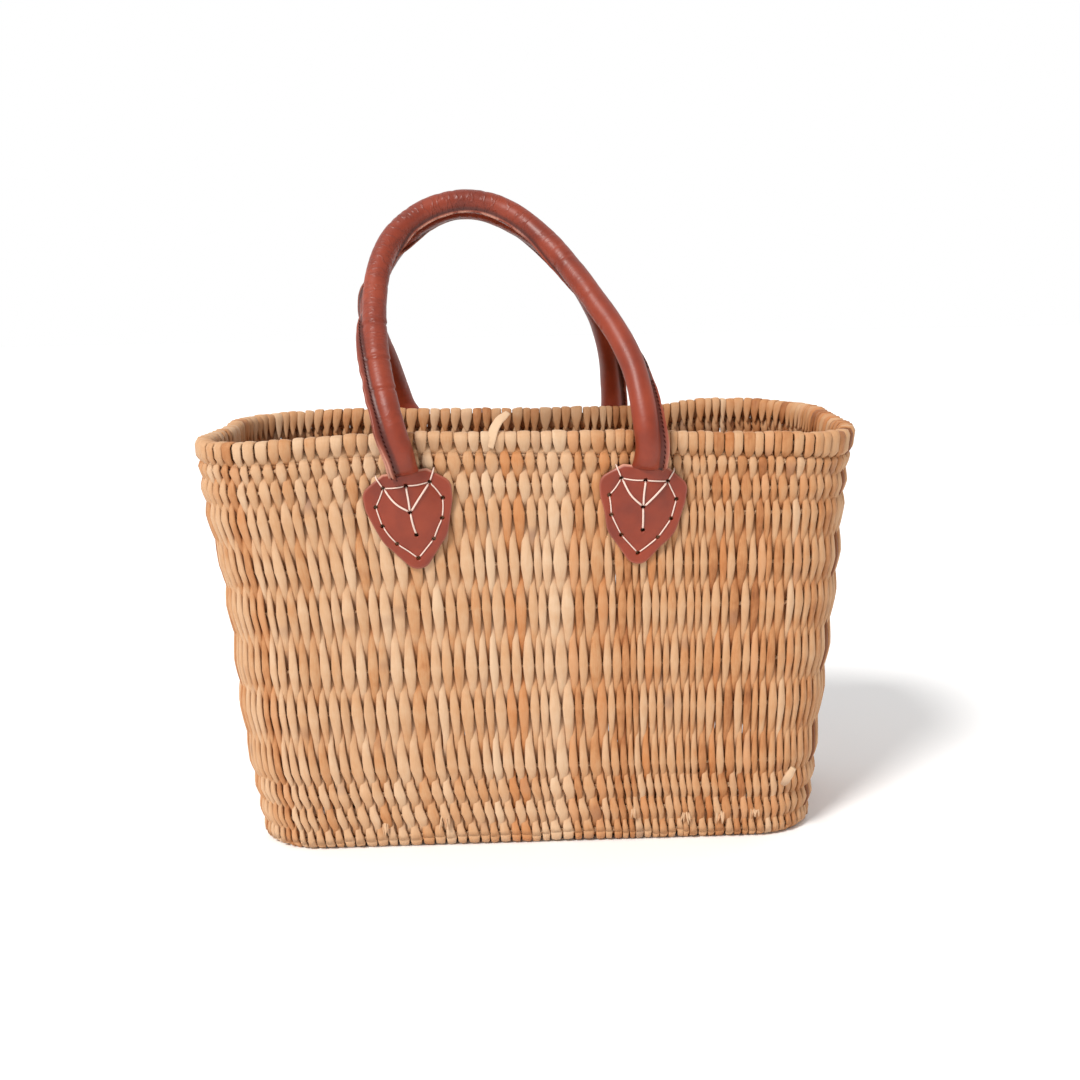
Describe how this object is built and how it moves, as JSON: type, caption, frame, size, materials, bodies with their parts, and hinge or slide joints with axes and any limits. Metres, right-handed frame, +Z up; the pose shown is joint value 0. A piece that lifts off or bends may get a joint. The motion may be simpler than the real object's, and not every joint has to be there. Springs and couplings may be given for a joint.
{
  "type": "woven market basket",
  "caption": "Woven reed basket with tapered walls, a folded reed rim and a pair of rolled leather carrying handles on stitched leather patches.",
  "frame": {"origin": "on the floor under the middle of the base, at the centre of the bounding box's bottom face", "axes": "+X along the basket's length, -Y the front, +Z up"},
  "size_m": [0.3816, 0.2126, 0.3804],
  "materials": {
    "reed": "matt dried reed, cream to tan with darker streaks",
    "reed_pith": "pale cut ends of reed",
    "twisted_cord": "matt two-ply rush cord",
    "leather": "satin red-brown vegetable-tanned leather",
    "white_thread": "matt off-white waxed thread",
    "brown_thread": "matt dark thread",
    "rope": "matt fibre rope"
  },
  "bodies": {
    "basket": {"front_wall_reeds": "reed", "back_wall_reeds": "reed", "left_end_reeds": "reed", "right_end_reeds": "reed", "base_reeds": "reed", "rim_folded_reeds": "reed", "rim_cut_ends": "reed_pith", "weft_cord_01": "twisted_cord", "weft_cord_02": "twisted_cord", "weft_cord_03": "twisted_cord", "weft_cord_04": "twisted_cord", "weft_cord_05": "twisted_cord", "weft_cord_06": "twisted_cord", "weft_cord_07": "twisted_cord", "weft_cord_08": "twisted_cord", "weft_cord_09": "twisted_cord", "weft_cord_10": "twisted_cord", "weft_cord_11": "twisted_cord", "base_cord_01": "twisted_cord", "base_cord_02": "twisted_cord", "base_cord_03": "twisted_cord", "base_cord_04": "twisted_cord", "base_cord_05": "twisted_cord", "rim_cord": "twisted_cord", "patch_front_left": "leather", "handle_tongue_front_left": "leather", "patch_thread_front_left": "white_thread", "patch_front_right": "leather", "handle_tongue_front_right": "leather", "patch_thread_front_right": "white_thread", "patch_back_left": "leather", "handle_tongue_back_left": "leather", "patch_thread_back_left": "white_thread", "patch_back_right": "leather", "handle_tongue_back_right": "leather", "patch_thread_back_right": "white_thread"},
    "front_handle": {"front_handle_cover": "leather", "front_handle_core": "rope", "front_handle_seam_left": "brown_thread", "front_handle_seam_right": "brown_thread"},
    "back_handle": {"back_handle_cover": "leather", "back_handle_core": "rope", "back_handle_seam_left": "brown_thread", "back_handle_seam_right": "brown_thread"}
  },
  "joints": [
    {"name": "front_handle_swing", "type": "hinge", "parent": "basket", "child": "front_handle", "pos_m": [0, -0.09676, 0.22776], "axis": [1, 0, 0], "range_deg": [0, 150]},
    {"name": "back_handle_swing", "type": "hinge", "parent": "basket", "child": "back_handle", "pos_m": [0, 0.09676, 0.22776], "axis": [-1, 0, 0], "range_deg": [0, 150]}
  ]
}
